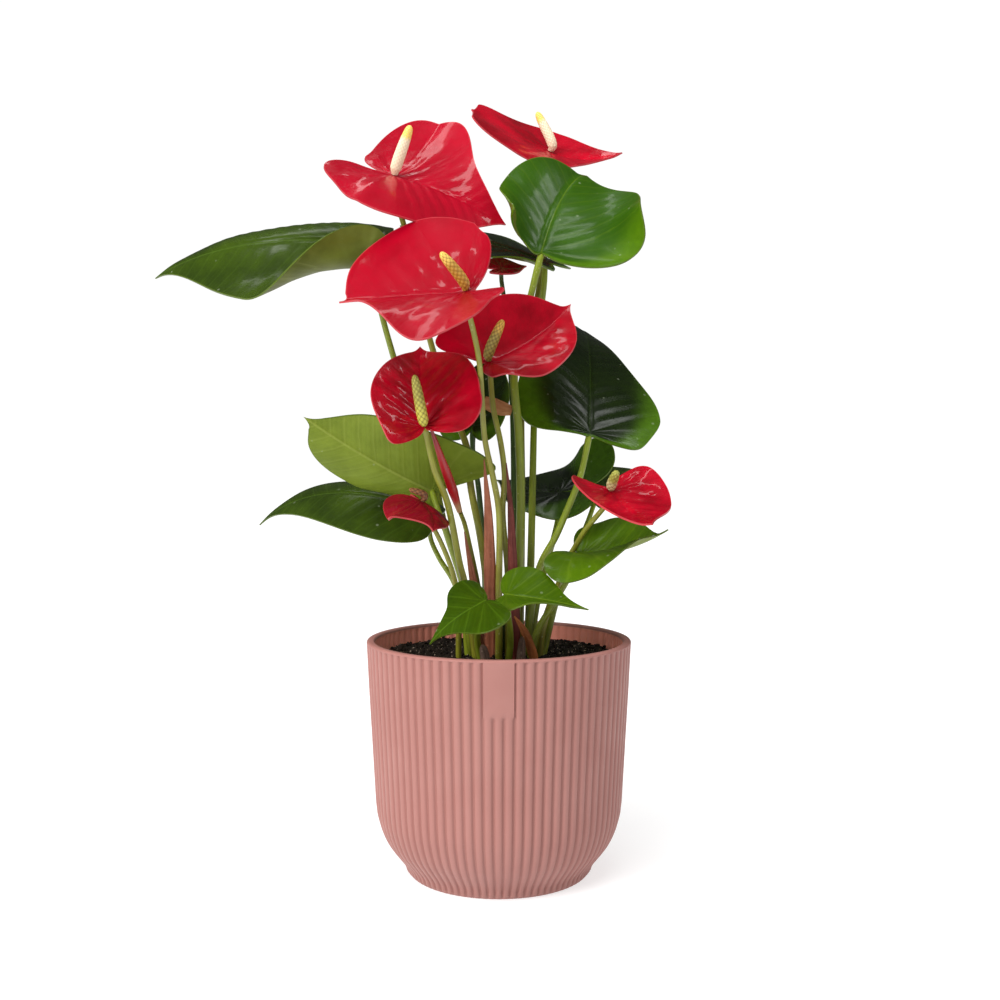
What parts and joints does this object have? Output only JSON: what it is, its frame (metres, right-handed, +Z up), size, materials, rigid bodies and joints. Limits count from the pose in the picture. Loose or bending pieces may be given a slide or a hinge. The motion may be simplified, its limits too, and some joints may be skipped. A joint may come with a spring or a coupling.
{
  "type": "potted anthurium",
  "caption": "Anthurium with heart-shaped leaves and waxy red spathes round upright spadices, rooted in soil in a round ribbed pot",
  "frame": {"origin": "centre of the pot's flat underside, on the surface it stands on", "axes": "+Z up along the pot's axis; the side with the pot's flat panel faces -Y; +X to the right seen from there"},
  "size_m": [0.2813, 0.2218, 0.4297],
  "materials": {
    "pot": "matte",
    "soil": "crumbly",
    "leaf": "waxy",
    "spathe": "glossy",
    "stem": "satin",
    "spadix": "matte",
    "sheath": "papery",
    "root": "rough"
  },
  "bodies": {
    "root": {"pot": "pot", "soil": "soil", "leaf_1": "leaf", "leaf_2": "leaf", "leaf_3": "leaf", "leaf_4": "leaf", "leaf_5": "leaf", "leaf_6": "leaf", "leaf_7": "leaf", "leaf_8": "leaf", "leaf_9": "leaf", "leaf_10": "leaf", "leaf_11": "leaf", "leaf_12": "leaf", "spathe_1": "spathe", "spathe_2": "spathe", "spathe_3": "spathe", "spathe_4": "spathe", "spathe_5": "spathe", "spathe_6": "spathe", "spathe_7": "spathe", "spathe_8": "spathe", "bud": "spathe", "flower_stem_1": "stem", "flower_stem_2": "stem", "flower_stem_3": "stem", "flower_stem_4": "stem", "flower_stem_5": "stem", "flower_stem_6": "stem", "flower_stem_7": "stem", "flower_stem_8": "stem", "bud_stem": "stem", "spadix_1": "spadix", "spadix_2": "spadix", "spadix_3": "spadix", "spadix_4": "spadix", "spadix_5": "spadix", "spadix_6": "spadix", "spadix_8": "spadix", "sheath_1": "sheath", "sheath_2": "sheath", "sheath_3": "sheath", "sheath_4": "sheath", "sheath_5": "sheath", "root_1": "root", "root_2": "root"}
  },
  "joints": []
}
